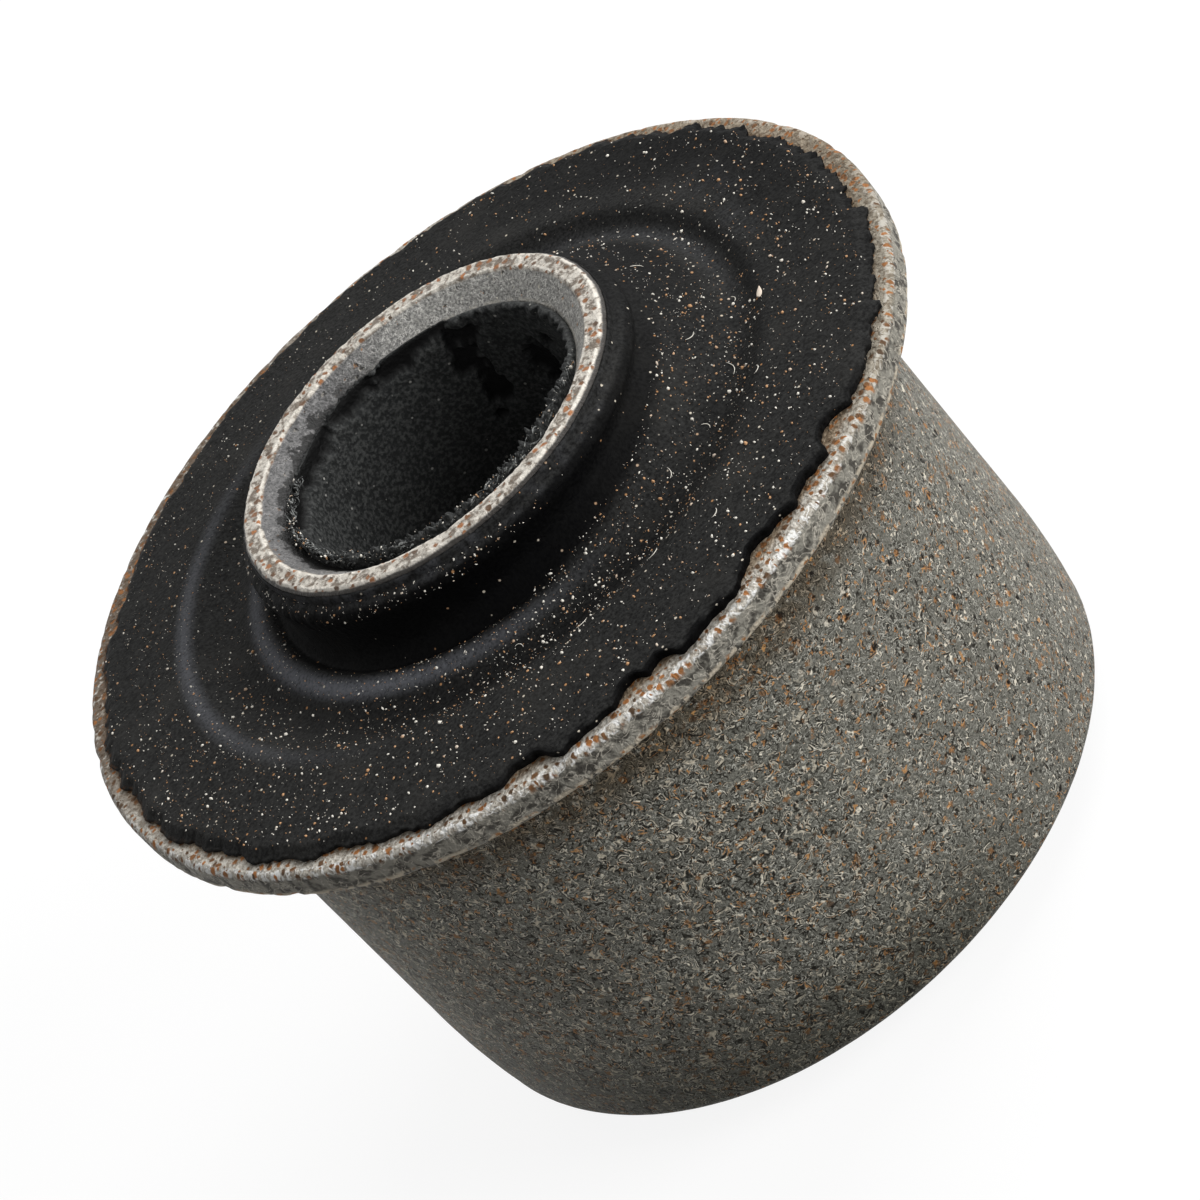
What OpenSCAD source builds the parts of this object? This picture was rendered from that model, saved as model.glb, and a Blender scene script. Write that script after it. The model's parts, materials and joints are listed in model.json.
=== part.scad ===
// Flanged rubber bush for a pedal pivot, worn: a drawn steel shell, a bonded rubber
// body with a torn skin, a steel inner sleeve and a thin lining in the sleeve's bore.
// Millimetres. The axis is +Z, and z = 0 is the flange's seating face.

/* [Outer shell] */
// Outside diameter of the flange
flange_d = 54.5; // [52:0.5:70]
// Thickness of the drawn sheet
sheet_t = 2; // [1.4:0.1:2.6]
// Outside diameter of the straight body that is pressed into the pedal
body_d = 45; // [38:0.5:46]
// Length of the shell below the seating face
body_len = 28.8; // [22:0.2:45]
// Outside radius of the bend between the body and the flange
bend_r = 1.6; // [0.8:0.1:2]
// Rounding of the flange's rim
rim_r = 0.45; // [0.2:0.05:0.6]
// Length of the curved lead-in at the lower end
lead_len = 7; // [4:0.5:10]
// How far the lead-in draws the radius in
lead_drop = 0.6; // [0.2:0.05:1.2]
// Rounding of the lower outside edge
toe_r = 1.2; // [0.6:0.1:1.3]

/* [Inner sleeve] */
// Outside diameter of the sleeve
sleeve_d = 24.5; // [22:0.5:27]
// Bore of the steel sleeve
sleeve_bore_d = 19; // [16:0.5:20.5]
// How far the sleeve stands above the flange's upper face
upper_stand = 5.4; // [4:0.2:9]
// How far the sleeve stands below the shell
lower_stand = 2; // [1:0.2:6]
// Width of the flat rim round the upper mouth
rim_land = 0.95; // [0.5:0.05:1.4]
// Depth of the countersink in the upper mouth
mouth_depth = 1.4; // [0.6:0.1:3]
// Chamfer on the outside of both ends and the inside of the lower end
sleeve_chamfer = 0.3; // [0.1:0.05:0.5]

/* [Bore lining] */
// Thickness of the lining
lining_t = 0.5; // [0.3:0.1:1.2]

/* [Rubber] */
// Thickness of the skin that covers the flange
skin_t = 0.6; // [0.3:0.1:1]
// Mean width of the bare steel ring outside the torn skin
bare_w = 1.1; // [0.9:0.1:1.4]
// How far the torn edge frays from its mean line
fray = 0.3; // [0.1:0.05:0.4]
// How far the torn edge as a whole lies off centre
drift = 0.3; // [0:0.05:0.4]
// Flat skin left between the deepest chip and the bend of the shell
chip_margin = 0.25; // [0.1:0.05:0.6]
// Thickness of the skin where it feathers out
feather_t = 0.2; // [0.1:0.05:0.25]
// Width over which the skin feathers out
feather_w = 0.8; // [0.3:0.1:1]
// Height of the outer crest above the skin
crest_h = 0.1; // [0.1:0.1:1]
// Distance of the outer crest inside the body's outside diameter, on the radius
crest_inset = 2.6; // [0.5:0.1:3.4]
// Depth of the trough below the flange's upper face
trough_depth = 0.2; // [0.1:0.1:2]
// Height of the inner ridge above the flange's upper face
ridge_h = 0.5; // [0.3:0.1:2]
// Distance of the ridge's crest from the sleeve
ridge_gap = 1.9; // [1.8:0.1:3]
// Width of the flat bottom of the groove round the sleeve
groove_w = 0.2; // [0.1:0.1:0.4]
// Depth of the groove round the sleeve, below the flange's upper face
groove_depth = 0.2; // [0:0.1:3]
// Thickness of the collar that climbs the sleeve, and rounding of its lip
collar_t = 0.8; // [0.3:0.1:1]
// Bare length of sleeve above the collar
collar_bare = 0.9; // [0.6:0.1:2]
// Height above the flange's upper face at which the web meets the collar
web_h = 1.8; // [0.4:0.1:2.4]
// Lean of the web, which lifts it on the side that the sagging sleeve has stretched
web_lean = 10; // [0:1:12]
// Distance of the lower rubber face above the shell's lower end
under_inset = 1.5; // [1.4:0.1:4]
// Depth of the hollow in the lower rubber face
under_hollow = 3; // [1:0.5:6]

/* [Hidden] */
$fn = 96;

steel_color = [0.42, 0.41, 0.38];
bright_color = [0.66, 0.63, 0.58];
rubber_color = [0.12, 0.12, 0.13];
lining_color = [0.07, 0.07, 0.08];

// Steps in each rounded stretch of a profile, and round the torn edge
arc_steps = 8;
wave_steps = 10;
edge_steps = 240;

flange_r = flange_d / 2;
body_r = body_d / 2;
flange_top = sheet_t;
fillet_r = min(bend_r, (flange_r - rim_r - body_r) / 2);
flat_r = body_r + fillet_r;
shell_end = -body_len;
lead_start = shell_end + lead_len;
lead_arc_r = (lead_len * lead_len + lead_drop * lead_drop) / (2 * lead_drop);
toe_z = shell_end + toe_r;

sleeve_r = sleeve_d / 2;
bore_r = sleeve_bore_d / 2;
mouth_r = sleeve_r - sleeve_chamfer - rim_land;
sleeve_top = flange_top + upper_stand;
sleeve_end = shell_end - lower_stand;
lining_r = bore_r - lining_t;
lining_top = sleeve_top - mouth_depth;
lining_end = sleeve_end + sleeve_chamfer;
lining_len = lining_top - lining_end;

skin_top = flange_top + skin_t;
skin_r = flange_r - bare_w;
feather = min(feather_w, (skin_r - flat_r) / 2);
crest = [body_r - crest_inset, skin_top + crest_h];
ridge = [sleeve_r + ridge_gap, flange_top + ridge_h];
trough = [(crest.x + ridge.x) / 2, flange_top - trough_depth];
groove = [sleeve_r + collar_t, flange_top - groove_depth];
lip_z = sleeve_top - collar_bare - collar_t;
web_z = flange_top + web_h;
web_foot_r = (crest.x + trough.x) / 2;
web_drop = web_foot_r - groove.x;
under_face = shell_end + under_inset;

// Places where the skin has broken away: angle, half width in degrees, share of the deepest chip
deepest_chip = max(0, skin_r - drift - fray - flat_r - chip_margin);
chips = [[253, 4, 0.5], [267, 2.5, 0.7], [272, 2, 0.65], [290, 6, 0.8], [299, 4, 0.6], [307, 3.5, 1]];
drift_angle = 320;
// Direction in which the web is stretched
stretch_angle = 15;

// Points on an arc round a centre, from one angle to another
function arc(c, r, a0, a1, first = 0) =
    [for (i = [first:arc_steps]) let (a = a0 + (a1 - a0) * i / arc_steps) c + r * [cos(a), sin(a)]];

// Points on a smooth half wave that starts and ends level, after its first point
function half_wave(p, q) =
    [for (i = [1:wave_steps])
        let (s = i / wave_steps) [p.x + (q.x - p.x) * s, p.y + (q.y - p.y) * (1 - cos(180 * s)) / 2]];

// Point on the body's curved lead-in at a height, at a depth below the sheet's outside
function lead_point(z, depth) =
    [body_r - depth - lead_arc_r + sqrt(lead_arc_r * lead_arc_r - pow(lead_start - z, 2)), z];

// Points along the lead-in from one height to another, after the first point
function lead_curve(z0, z1, depth) =
    [for (i = [1:wave_steps]) lead_point(z0 + (z1 - z0) * i / wave_steps, depth)];

// How far a chip has taken the edge back at an angle
function chip_depth(a) =
    deepest_chip * max([for (c = chips) c[2] * max(0, 1 - pow((a - c[0]) / c[1], 2))]);

// Radius of the torn edge at an angle
function torn_r(a) =
    skin_r + drift * cos(a - drift_angle) - chip_depth(a)
    + fray * (0.5 * sin(17 * a + 40) + 0.3 * sin(41 * a + 10) + 0.2 * sin(73 * a + 80));

torn_outline = [for (i = [0:edge_steps - 1]) let (a = 360 * i / edge_steps) torn_r(a) * [cos(a), sin(a)]];

// Inside of the shell that the rubber is bonded to, from the lower rubber face up to the flange
bonded_wall = concat(
    lead_curve(under_face, lead_start, sheet_t),
    arc([flat_r, -fillet_r], fillet_r + sheet_t, 180, 90)
);

shell_profile = concat(
    [lead_point(under_face, sheet_t)],
    bonded_wall,
    arc([flange_r - rim_r, flange_top - rim_r], rim_r, 90, 0),
    arc([flange_r - rim_r, rim_r], rim_r, 0, -90),
    arc([flat_r, -fillet_r], fillet_r, 90, 180),
    [[body_r, lead_start]],
    lead_curve(lead_start, toe_z, 0),
    arc(lead_point(toe_z, toe_r), toe_r, 0, -90, first = 1),
    [lead_point(shell_end, sheet_t)]
);

// The lower rubber face dips in the middle, between the sleeve and the shell
under_wall = lead_point(under_face, sheet_t);
under_mid = [(under_wall.x + sleeve_r) / 2, under_face + under_hollow];

rubber_profile = concat(
    bonded_wall,
    [[flange_r, flange_top], [flange_r, flange_top + feather_t], [skin_r, flange_top + feather_t]],
    half_wave([skin_r, flange_top + feather_t], [skin_r - feather, skin_top]),
    [[flat_r, skin_top]],
    half_wave([flat_r, skin_top], crest),
    half_wave(crest, trough),
    half_wave(trough, ridge),
    half_wave(ridge, groove + [groove_w, 0]),
    [groove],
    arc([sleeve_r, lip_z], collar_t, 0, 90),
    [[sleeve_r, under_face]],
    half_wave([sleeve_r, under_face], under_mid),
    half_wave(under_mid, under_wall)
);

sleeve_profile = [
    [sleeve_r - sleeve_chamfer, sleeve_end],
    [sleeve_r, sleeve_end + sleeve_chamfer],
    [sleeve_r, sleeve_top - sleeve_chamfer],
    [sleeve_r - sleeve_chamfer, sleeve_top],
    [mouth_r, sleeve_top],
    [bore_r, lining_top],
    [bore_r, lining_end],
    [bore_r + sleeve_chamfer, sleeve_end]
];

// Drawn steel shell: body, bend and flange in one sheet
module outer_shell() {
    color(steel_color) rotate_extrude() polygon(shell_profile);
}

// Everything outside the torn edge of the skin
module lost_skin() {
    translate([0, 0, flange_top - skin_t]) linear_extrude(height = 3 * skin_t) difference() {
        circle(r = flange_r + bare_w);
        polygon(torn_outline);
    }
}

// Leaning cone of rubber from the face up to the collar, which hides the groove on the stretched side
module web() {
    rotate([0, -web_lean, stretch_angle]) translate([0, 0, web_z - web_drop])
        cylinder(h = web_drop + collar_t, r1 = web_foot_r, r2 = sleeve_r);
}

// Moulded rubber between shell and sleeve, with its skin over the flange
module rubber_body() {
    color(rubber_color) difference() {
        union() {
            rotate_extrude() polygon(rubber_profile);
            difference() {
                web();
                translate([0, 0, sleeve_end]) cylinder(r = sleeve_r + collar_t / 2, h = sleeve_top - sleeve_end);
            }
        }
        lost_skin();
    }
}

// Turned steel sleeve with a countersunk upper mouth
module inner_sleeve() {
    color(bright_color) rotate_extrude() polygon(sleeve_profile);
}

// Thin lining bonded into the sleeve's bore
module bore_lining() {
    color(lining_color) translate([0, 0, lining_end]) difference() {
        cylinder(r = bore_r, h = lining_len);
        translate([0, 0, -lining_t]) cylinder(r = lining_r, h = lining_len + 2 * lining_t);
    }
}

outer_shell();
rubber_body();
inner_sleeve();
bore_lining();
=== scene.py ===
import json
import math

import bmesh
import bpy
import numpy as np
from mathutils import Matrix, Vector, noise


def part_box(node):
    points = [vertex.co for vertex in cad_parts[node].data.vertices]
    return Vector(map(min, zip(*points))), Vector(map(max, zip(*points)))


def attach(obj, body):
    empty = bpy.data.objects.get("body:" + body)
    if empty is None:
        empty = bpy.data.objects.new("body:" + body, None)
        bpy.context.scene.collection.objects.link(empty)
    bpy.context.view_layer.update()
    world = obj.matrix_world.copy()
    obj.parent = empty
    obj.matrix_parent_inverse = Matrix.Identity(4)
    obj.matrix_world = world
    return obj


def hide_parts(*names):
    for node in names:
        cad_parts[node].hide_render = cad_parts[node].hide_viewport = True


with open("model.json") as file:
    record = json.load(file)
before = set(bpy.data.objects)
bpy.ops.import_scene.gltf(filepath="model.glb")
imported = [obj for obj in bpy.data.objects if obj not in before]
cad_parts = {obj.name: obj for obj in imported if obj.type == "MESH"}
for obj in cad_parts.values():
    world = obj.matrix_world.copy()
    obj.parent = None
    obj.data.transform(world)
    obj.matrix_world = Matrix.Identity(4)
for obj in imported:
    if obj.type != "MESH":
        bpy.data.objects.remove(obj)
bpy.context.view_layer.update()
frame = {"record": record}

# Lengths below are millimetres, and MM turns them into Blender's metres. Angles are degrees round
# the axis from +X towards +Y, and the camera looks from 270.
MM = 0.001
rng = np.random.default_rng(8)


def span(node):
    """Lowest and highest corner of a CAD node."""
    low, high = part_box(node)
    return np.array(low) / MM, np.array(high) / MM


# Sizes taken from the CAD nodes and the mounts
mount_r = {mount["name"]: mount["dims"].get("r_mm") for mount in frame["record"]["mounts"]}
flange_r, _, flange_top = span("outer_shell")[1]
shell_end = span("outer_shell")[0][2]
body_r = mount_r["press_body"]
sleeve_r, _, sleeve_top = span("inner_sleeve")[1]
sleeve_end = span("inner_sleeve")[0][2]
bore_r, _, lining_top = span("bore_lining")[1]
lining_end = span("bore_lining")[0][2]
lining_r = mount_r["pivot_bore"]
under_face = span("rubber_body")[0][2]
collar_top = span("rubber_body")[1][2]

# Shell: one sheet, whose thickness is the flange's height above its seat at z = 0
sheet = flange_top
bend_r = 0.8 * sheet
rim_r = 0.225 * sheet
flat_r = body_r + bend_r
lead_len = 7.0
lead_start = shell_end + lead_len
lead_drop = 0.6
lead_arc_r = ((lead_start - shell_end) ** 2 + lead_drop ** 2) / (2 * lead_drop)
toe_r = 0.6 * sheet
toe_z = shell_end + toe_r

# Sleeve
chamfer = 0.3
rim_land = 0.95
mouth_r = sleeve_r - chamfer - rim_land

# Rubber: sizes of its skin, waves, collar, web and lower face
skin_t = 0.6
bare_w = 1.1
feather_w = 0.8
feather_t = 0.2
crest_inset = 2.6
crest_h = 0.1
ridge_gap = 1.9
ridge_h = 0.5
trough_depth = 0.2
groove_depth = 0.2
groove_w = 0.2
collar_t = 0.8
web_h = 1.8
web_lean = 10
stretch_angle = 15
under_hollow = 3.0
film_t = 0.08

# Points of the rubber's face as (radius, height), and the levels that follow
skin_top = flange_top + skin_t
skin_r = flange_r - bare_w
crest = np.array([body_r - crest_inset, skin_top + crest_h])
ridge = np.array([sleeve_r + ridge_gap, flange_top + ridge_h])
trough = np.array([(crest[0] + ridge[0]) / 2, flange_top - trough_depth])
groove = np.array([sleeve_r + collar_t, flange_top - groove_depth])
lip_z = collar_top - collar_t
web_z = flange_top + web_h
film_top = sleeve_top - chamfer - film_t

# Places where the skin has broken away: angle, half width in degrees, depth
chips = (
    (253, 4, 0.6), (267, 2.5, 0.84), (272, 2, 0.78),
    (290, 6, 0.96), (299, 4, 0.72), (307, 3.5, 1.2),
)
fray = 0.3
drift = 0.3
drift_angle = 320

# Steps round the axis in each ring
shell_steps = 720
rubber_steps = 1100
sleeve_steps = 800


# Profiles and rings

def line(start, end, count):
    """Points from start towards end, without the end itself."""
    share = np.linspace(0, 1, count, endpoint=False)[:, None]
    return np.array(start) + (np.array(end) - np.array(start)) * share


def arc(centre, radius, start, end, count):
    """Points on an arc between two angles in degrees, without the last."""
    angle = np.radians(np.linspace(start, end, count, endpoint=False))
    return np.array(centre) + radius * np.stack([np.cos(angle), np.sin(angle)], axis=1)


def half_wave(start, end, count):
    """Points on a curve that leaves start level and reaches end level, without the end."""
    share = np.linspace(0, 1, count, endpoint=False)
    rise = (1 - np.cos(math.pi * share)) / 2
    radius = start[0] + (end[0] - start[0]) * share
    return np.stack([radius, start[1] + (end[1] - start[1]) * rise], axis=1)


def lead_r(height, depth):
    """Radius of the shell's curved lead-in at a height, at a depth below its outside."""
    return body_r - depth - lead_arc_r + np.sqrt(lead_arc_r ** 2 - (lead_start - height) ** 2)


def lead_curve(start, end, depth, count):
    """Points along the lead-in between two heights, without the last."""
    height = np.linspace(start, end, count, endpoint=False)
    return np.stack([lead_r(height, depth), height], axis=1)


def angles(steps):
    """Angles round the axis, in degrees."""
    return np.linspace(0, 360, steps, endpoint=False)


def spin(radius, height, angle):
    """Points from radii and heights laid out as rows along a profile and columns round the axis."""
    radius, height, turn = np.broadcast_arrays(radius, height, np.radians(angle))
    return np.stack([radius * np.cos(turn), radius * np.sin(turn), height], axis=-1)


def normals(grid):
    """Outward direction at each point of a ring."""
    along = np.roll(grid, -1, axis=0) - np.roll(grid, 1, axis=0)
    around = np.roll(grid, -1, axis=1) - np.roll(grid, 1, axis=1)
    outward = np.cross(around, along)
    return outward / np.linalg.norm(outward, axis=-1, keepdims=True)


def ripple(points, size, shift=0.0):
    """Smooth noise from -1 to 1 whose features are about size across."""
    spots = (points.reshape(-1, 3) / size + shift).tolist()
    return np.array([noise.noise(spot) for spot in spots]).reshape(points.shape[:-1])


def smooth(value, low, high):
    """0 below low, 1 above high and smooth between; low may be the larger."""
    share = np.clip((value - low) / (high - low), 0, 1)
    return share * share * (3 - 2 * share)


def bell(angle, centre, width):
    """1 at an angle and 0 further than width from it, in degrees."""
    away = np.abs((angle - centre + 180) % 360 - 180)
    return smooth(away, width, 0)


def new_piece(name, points, faces, material, marks=None):
    """Makes a mesh piece that rides on the part; marks are named values at its points."""
    mesh = bpy.data.meshes.new(name)
    mesh.from_pydata((points * MM).tolist(), [], faces)
    for mark, values in (marks or {}).items():
        layer = mesh.attributes.new(mark, "FLOAT", "POINT")
        layer.data.foreach_set("value", np.ascontiguousarray(values, dtype=np.float32).ravel())
    mesh.materials.append(material)
    mesh.shade_smooth()
    piece = bpy.data.objects.new(name, mesh)
    bpy.context.scene.collection.objects.link(piece)
    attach(piece, "root")
    return piece


def ring_piece(name, grid, material, marks=None):
    """Closes a grid both ways into a ring-shaped piece."""
    rows, steps = grid.shape[:2]
    here = np.arange(rows * steps).reshape(rows, steps)
    after = np.roll(here, -1, axis=1)
    faces = np.stack([here, after, np.roll(after, -1, axis=0), np.roll(here, -1, axis=0)], axis=-1)
    return new_piece(name, grid.reshape(-1, 3), faces.reshape(-1, 4).tolist(), material, marks)


# Material nodes

class Shader:
    """Short calls for one material's nodes. Texture sizes are in millimetres on the part."""

    def __init__(self, name):
        self.material = bpy.data.materials.new(name)
        self.material.use_nodes = True
        self.tree = self.material.node_tree
        self.bsdf = self.tree.nodes["Principled BSDF"]
        self.place = self.node("ShaderNodeTexCoord").outputs["Object"]
        split = self.node("ShaderNodeSeparateXYZ", {0: self.place})
        self.height = self.times(split.outputs["Z"], 1 / MM)
        across = self.node("ShaderNodeCombineXYZ", {0: split.outputs["X"], 1: split.outputs["Y"]})
        length = self.node("ShaderNodeVectorMath", {0: across.outputs[0]}, operation="LENGTH")
        self.radius = self.times(length.outputs["Value"], 1 / MM)
        self.seed = 0.0

    def node(self, kind, inputs=None, **settings):
        made = self.tree.nodes.new(kind)
        for key, value in settings.items():
            setattr(made, key, value)
        for key, value in (inputs or {}).items():
            self.put(made.inputs[key], value)
        return made

    def put(self, socket, value):
        if isinstance(value, bpy.types.NodeSocket):
            self.tree.links.new(value, socket)
        else:
            socket.default_value = value

    def math(self, operation, first, second=0.0):
        return self.node("ShaderNodeMath", {0: first, 1: second}, operation=operation).outputs[0]

    def times(self, first, second):
        return self.math("MULTIPLY", first, second)

    def mix(self, share, first, second, blend="MIX"):
        made = self.node("ShaderNodeMix", {0: share}, data_type="RGBA", blend_type=blend)
        for key, value in ((6, first), (7, second)):
            self.put(made.inputs[key], value if isinstance(value, bpy.types.NodeSocket) else (*value, 1))
        return made.outputs[2]

    def tint(self, share, colour, by):
        """A colour multiplied by another, which keeps its pattern."""
        return self.mix(share, colour, by, "MULTIPLY")

    def step(self, value, low, high):
        """0 below low, 1 above high and smooth between; low may be the larger."""
        return self.node(
            "ShaderNodeMapRange",
            {"Value": value, "From Min": low, "From Max": high},
            interpolation_type="SMOOTHSTEP",
        ).outputs[0]

    def noise(self, size, detail=2.0, rough=0.5, warp=0.0):
        return self.node(
            "ShaderNodeTexNoise",
            {
                "Vector": self.shifted(), "Scale": 1 / (size * MM),
                "Detail": detail, "Roughness": rough, "Distortion": warp,
            },
        ).outputs["Fac"]

    def specks(self, size, radius, kept, place=None, flat=False):
        """Specks in cells of a size, in a level plane if flat: their mask, and a number for each."""
        made = self.node(
            "ShaderNodeTexVoronoi",
            {"Vector": place or self.shifted(), "Scale": 1 / (size * MM)},
            voronoi_dimensions="2D" if flat else "3D", feature="F1",
        )
        pick = self.node("ShaderNodeSeparateColor", {0: made.outputs["Color"]})
        reach = self.times(self.step(pick.outputs[0], 1 - kept, 1.0), radius / size)
        inner = self.times(reach, 0.6)
        mask = self.node(
            "ShaderNodeMapRange",
            {"Value": made.outputs["Distance"], "From Min": reach, "From Max": inner},
        ).outputs[0]
        return mask, pick.outputs[1]

    def shifted(self):
        """The part's coordinates moved to another place of the pattern each time."""
        self.seed += 3.7
        return self.moved(self.place, (self.seed, 0.6 * self.seed, 1.7 * self.seed))

    def moved(self, place, offset):
        """Coordinates moved by an offset in millimetres."""
        length = tuple(part * MM for part in offset)
        return self.node("ShaderNodeVectorMath", {0: place, 1: length}, operation="ADD").outputs[0]

    def warped(self, place, size, amount):
        """Coordinates pushed about by a noise of a size, by up to half an amount each way."""
        push = self.node("ShaderNodeTexNoise", {"Vector": place, "Scale": 1 / (size * MM), "Detail": 1.0})
        return self.node(
            "ShaderNodeVectorMath",
            {0: push.outputs["Color"], 1: (amount * MM,) * 3, 2: place},
            operation="MULTIPLY_ADD",
        ).outputs[0]

    def band(self, value, centre, width):
        """1 where a value is at the centre and 0 further than width from it: a contour of a noise."""
        away = self.math("ABSOLUTE", self.math("SUBTRACT", value, centre))
        return self.step(away, width, 0.0)

    def towards(self, angle, low, high):
        """0 to 1 as a point lies from low to high millimetres out from the axis, along an angle."""
        turn = math.radians(angle)
        along = self.node(
            "ShaderNodeVectorMath",
            {0: self.place, 1: (math.cos(turn), math.sin(turn), 0)},
            operation="DOT_PRODUCT",
        ).outputs["Value"]
        return self.step(along, low * MM, high * MM)

    def mark(self, name):
        return self.node("ShaderNodeAttribute", attribute_name=name).outputs["Fac"]

    def bump(self, height, depth):
        made = self.node("ShaderNodeBump", {"Height": height, "Distance": depth * MM})
        self.put(self.bsdf.inputs["Normal"], made.outputs[0])

    def finish(self, **inputs):
        for key, value in inputs.items():
            self.put(self.bsdf.inputs[key.replace("_", " ").title().replace("Ior", "IOR")], value)
        return self.material


RUST = (0.26, 0.115, 0.042)
BROWN = (0.085, 0.055, 0.034)
CREAM = (0.62, 0.56, 0.46)


def pits(s, colour, place, size, radius, kept, share=0.95):
    """Small ragged pits in a steel, with painted shade inside and a painted highlight on one edge, whose
    colour runs from cream to rust.
    """
    # Painted highlight on the same side of every pit
    lit, tone = s.specks(size, radius, kept, s.moved(place, (0.6 * radius, 0, 0)))
    edge = s.mix(s.step(tone, 0.4, 0.6), (0.74, 0.69, 0.58), (0.44, 0.22, 0.085))
    colour = s.mix(s.times(lit, share), colour, edge)
    # Painted shade inside the pit
    hole, _ = s.specks(size, radius, kept, place)
    return s.mix(s.times(hole, share), colour, (0.012, 0.010, 0.008))


def flange_colour(s, colour):
    """Adds the flange to a steel: a dark netted side, a pale top with rust spots, and painted white
    highlights along its scuffed corners.
    """
    side = s.times(s.step(s.radius, flange_r - 0.8, flange_r - 0.25), s.step(s.height, -0.5, 0.2))
    net = s.band(s.noise(0.8, 2.0, 0.6, 0.8), 0.5, 0.035)
    cloud = s.noise(0.6, 2.0)
    grey = s.mix(s.step(cloud, 0.38, 0.58), (0.07, 0.065, 0.056), (0.27, 0.257, 0.22))
    colour = s.mix(side, colour, s.mix(s.times(net, 0.85), grey, (0.50, 0.465, 0.395)))
    top = s.step(s.height, flange_top - 0.42, flange_top - 0.2)
    bare = s.mix(s.step(s.noise(0.3, 3.0, 0.65), 0.38, 0.60), (0.29, 0.255, 0.21), (0.58, 0.55, 0.49))
    bare = s.tint(s.step(s.radius, flange_r - 0.9, flange_r - 1.5), bare, (0.62, 0.52, 0.42))
    colour = s.mix(top, colour, bare)
    # Painted highlight along the scuffed top corner, broken into a chain of white glints
    wear_and_highlight = s.step(s.radius, flange_r - 0.66, flange_r - 0.48)
    wear_and_highlight = s.times(wear_and_highlight, s.step(s.height, flange_top - 0.48, flange_top - 0.32))
    winding = s.noise(0.6, 1.0, 0.5, 0.5)
    chain = s.band(winding, 0.52, 0.05)
    glint = s.math("MAXIMUM", chain, s.step(s.noise(0.7, 2.0, 0.6), 0.54, 0.60))
    colour = s.mix(s.times(wear_and_highlight, glint), colour, (0.76, 0.755, 0.73))
    upper = s.step(s.height, flange_top - 0.6, flange_top - 0.25)
    far = s.times(s.towards(135, 14.0, 24.0), s.step(s.noise(0.4, 1.0), 0.30, 0.45))
    colour = s.mix(s.times(s.times(far, upper), 0.85), colour, (0.11, 0.07, 0.042))
    colour = s.tint(s.times(s.towards(30, 17.0, 25.0), upper), colour, (0.55, 0.49, 0.42))
    colour = s.tint(s.times(s.towards(335, 21.0, 25.5), upper), colour, (0.60, 0.57, 0.52))
    spot, tone = s.specks(0.46, 0.25, 0.9, s.warped(s.shifted(), 0.3, 0.3), flat=True)
    colour = s.mix(s.times(spot, upper), colour, s.mix(tone, BROWN, (0.38, 0.16, 0.055)))
    lower = s.times(s.step(s.height, 0.6, 0.35), s.step(s.radius, flange_r - 0.45, flange_r - 0.25))
    edge = s.mix(s.step(cloud, 0.54, 0.60), (0.58, 0.51, 0.40), (0.34, 0.16, 0.06))
    return s.mix(s.times(lower, s.step(winding, 0.42, 0.52)), colour, edge)


def shell_grain_and_painted_relief(s, fine, swirl):
    """Blasted steel with a fine grain, and winding lines of painted shade and painted highlight side by
    side, as on a fine relief.
    """
    broken = s.noise(0.7, 2.0)
    broad = s.noise(6.0, 1.0)
    colour = s.mix(s.step(fine, 0.3, 0.7), (0.11, 0.109, 0.092), (0.265, 0.261, 0.225))
    colour = s.mix(s.times(s.step(broad, 0.45, 0.75), 0.35), colour, (0.12, 0.115, 0.095))
    # Painted shade and painted highlight: dark and bright bands beside each other along one winding noise
    dark = s.times(s.band(swirl, 0.44, 0.06), s.step(broken, 0.25, 0.50))
    colour = s.mix(s.times(dark, 0.92), colour, (0.024, 0.022, 0.018))
    bright = s.times(s.band(swirl, 0.53, 0.04), s.step(broken, 0.30, 0.55))
    return s.mix(s.times(bright, 0.85), colour, (0.64, 0.63, 0.56))


def shell_strokes(s, colour):
    """Adds short curved strokes to a steel, more of them on the left: painted shade beside pale strokes
    that are partly painted highlight and partly cream and rust colour.
    """
    curve = s.noise(0.75, 1.0, 0.5, 1.0)
    cut = s.noise(0.36, 1.0)
    # Painted shade beside each pale stroke
    shade = s.times(s.band(curve, 0.44, 0.05), s.step(cut, 0.50, 0.54))
    colour = s.mix(s.times(shade, 0.95), colour, (0.014, 0.012, 0.009))
    # Pale strokes: partly painted highlight, partly cream and rust colour
    comma = s.times(s.band(curve, 0.51, 0.032), s.step(cut, 0.52, 0.55))
    warm = s.step(s.noise(0.8, 1.0), 0.47, 0.53)
    colour = s.mix(comma, colour, s.mix(warm, (0.88, 0.82, 0.68), (0.56, 0.29, 0.11)))
    left = s.towards(215, 2.0, 14.0)
    # The same painted shade and pale strokes again, on the left
    shade = s.times(s.band(curve, 0.585, 0.05), s.step(cut, 0.44, 0.48))
    colour = s.mix(s.times(shade, left), colour, (0.014, 0.012, 0.009))
    comma = s.times(s.band(curve, 0.38, 0.045), s.step(cut, 0.44, 0.48))
    return s.mix(s.times(comma, left), colour, (0.66, 0.60, 0.48))


def bend_dirt_and_shadow(s, colour, rough):
    """Adds brown to a steel on the body just under the flange, partly dirt and partly painted shadow of the
    flange, and pale flecks.
    """
    bend = s.times(s.step(s.height, -7.0, -3.8), s.step(s.radius, flange_r, body_r + 0.4))
    # Brown darkening under the flange: dirt and painted shadow
    smear = s.times(bend, s.step(s.noise(0.8, 3.0, 0.6), 0.2, 0.55))
    colour = s.tint(smear, colour, (0.50, 0.43, 0.36))
    fleck, tone = s.specks(0.5, 0.17, 0.3, s.moved(rough, (7, 2, 9)))
    flake = s.mix(s.step(tone, 0.4, 0.6), CREAM, (0.48, 0.26, 0.10))
    return s.mix(s.times(fleck, bend), colour, flake)


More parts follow.
